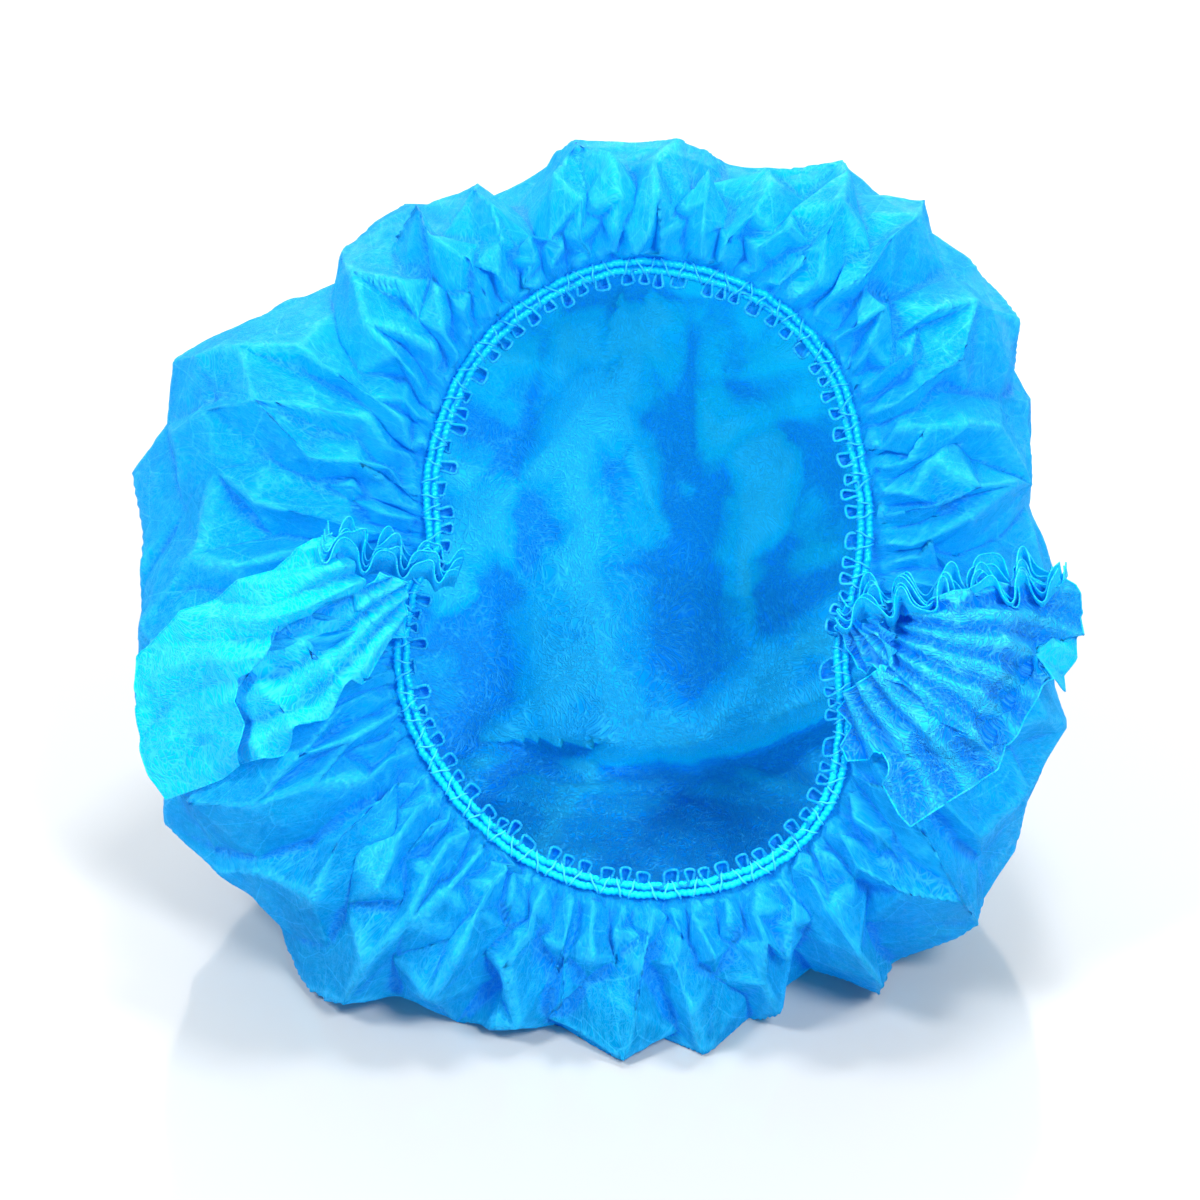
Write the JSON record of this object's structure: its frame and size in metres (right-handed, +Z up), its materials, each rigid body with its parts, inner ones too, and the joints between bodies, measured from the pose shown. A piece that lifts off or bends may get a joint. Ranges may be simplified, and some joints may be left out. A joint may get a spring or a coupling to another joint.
{
  "type": "disposable hairnet",
  "caption": "Light bouffant cap of thin blue nonwoven cloth, gathered on a double elastic cord round its opening, lying on its crown with the opening facing forward.",
  "frame": {"origin": "on the floor under the middle of the cap's box", "axes": "+Z up, +X to the viewer's right along the opening's width, the opening faces -Y and leans back by 28 degrees"},
  "size_m": [0.2612, 0.2122, 0.2154],
  "materials": {
    "cloth": "thin translucent spunbond with a fibre texture",
    "elastic": "glossy covered elastic thread"
  },
  "bodies": {
    "root": {"crown": "cloth", "elastic_outer_cord": "elastic", "elastic_inner_cord": "elastic", "left_ear": "cloth", "right_ear": "cloth"}
  },
  "joints": []
}
